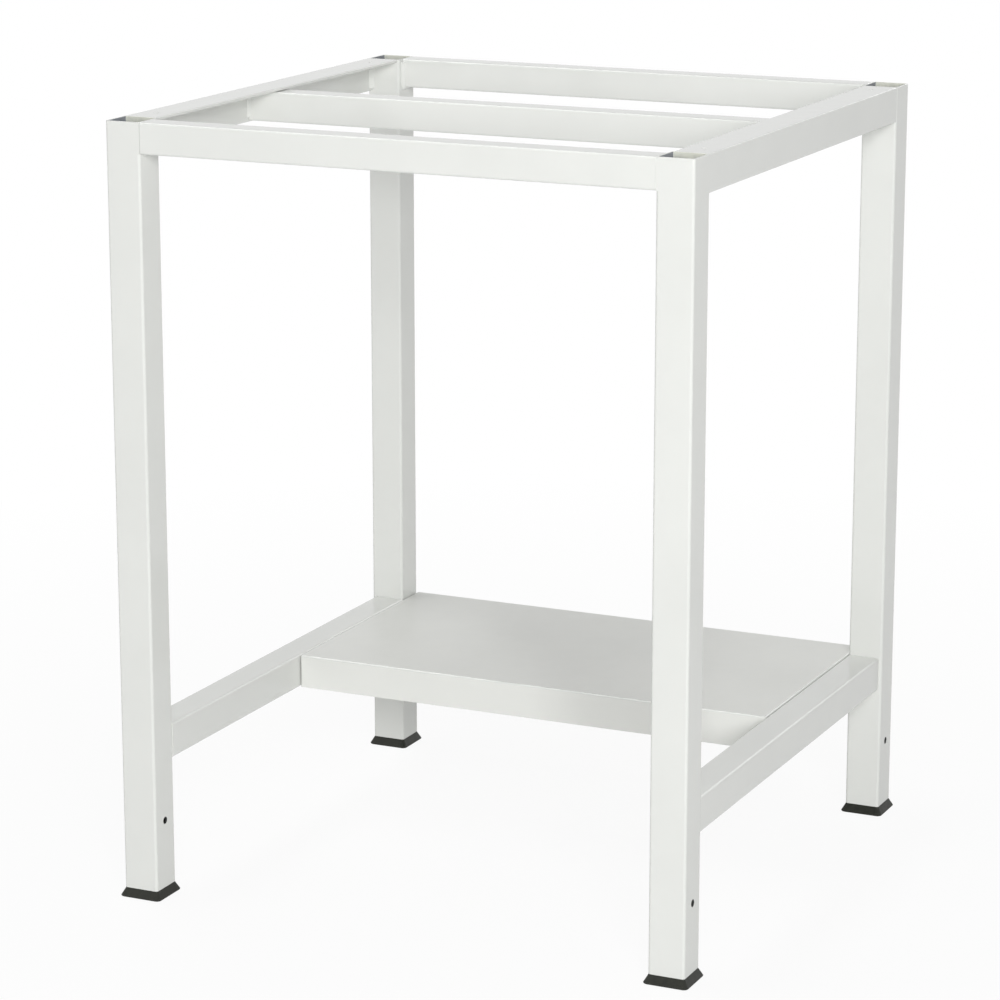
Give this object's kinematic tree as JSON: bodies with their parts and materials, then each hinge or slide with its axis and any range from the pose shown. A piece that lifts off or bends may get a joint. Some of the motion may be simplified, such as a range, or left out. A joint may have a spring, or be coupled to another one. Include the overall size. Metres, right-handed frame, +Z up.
{
  "type": "work table base frame",
  "caption": "Welded steel work table frame in pale grey powder coat, of square tube with angle side rails, with an open top frame for a worktop, a folded half-depth lower shelf and flared black plastic feet.",
  "frame": {"origin": "on the floor, in the middle between the four feet", "axes": "+Z up; the front, where the shelf stops short, faces -Y; +X to the right as seen from the front"},
  "size_m": [0.659, 0.644, 0.84],
  "materials": {
    "powder_coat": "pale grey powder coat, semi-gloss, fine orange peel",
    "black_plastic": "moulded black polyethylene, satin",
    "zinc_steel": "bright zinc plated"
  },
  "bodies": {
    "root": {"front_left_leg": "powder_coat", "front_right_leg": "powder_coat", "rear_left_leg": "powder_coat", "rear_right_leg": "powder_coat", "left_side_rail": "powder_coat", "right_side_rail": "powder_coat", "front_rail": "powder_coat", "rear_rail": "powder_coat", "middle_rail": "powder_coat", "left_stretcher": "powder_coat", "right_stretcher": "powder_coat", "shelf": "powder_coat", "front_left_foot": "black_plastic", "front_right_foot": "black_plastic", "rear_left_foot": "black_plastic", "rear_right_foot": "black_plastic", "left_shelf_screw_1": "zinc_steel", "left_shelf_screw_2": "zinc_steel", "left_shelf_screw_3": "zinc_steel", "right_shelf_screw_1": "zinc_steel", "right_shelf_screw_2": "zinc_steel", "right_shelf_screw_3": "zinc_steel", "front_left_cross_rail_weld": "powder_coat", "front_right_cross_rail_weld": "powder_coat", "rear_left_cross_rail_weld": "powder_coat", "rear_right_cross_rail_weld": "powder_coat", "front_left_side_rail_weld": "powder_coat", "front_right_side_rail_weld": "powder_coat", "rear_left_side_rail_weld": "powder_coat", "rear_right_side_rail_weld": "powder_coat", "middle_rail_left_front_weld": "powder_coat", "middle_rail_left_rear_weld": "powder_coat", "middle_rail_right_front_weld": "powder_coat", "middle_rail_right_rear_weld": "powder_coat", "left_stretcher_front_weld": "powder_coat", "left_stretcher_rear_weld": "powder_coat", "right_stretcher_front_weld": "powder_coat", "right_stretcher_rear_weld": "powder_coat"}
  },
  "joints": []
}
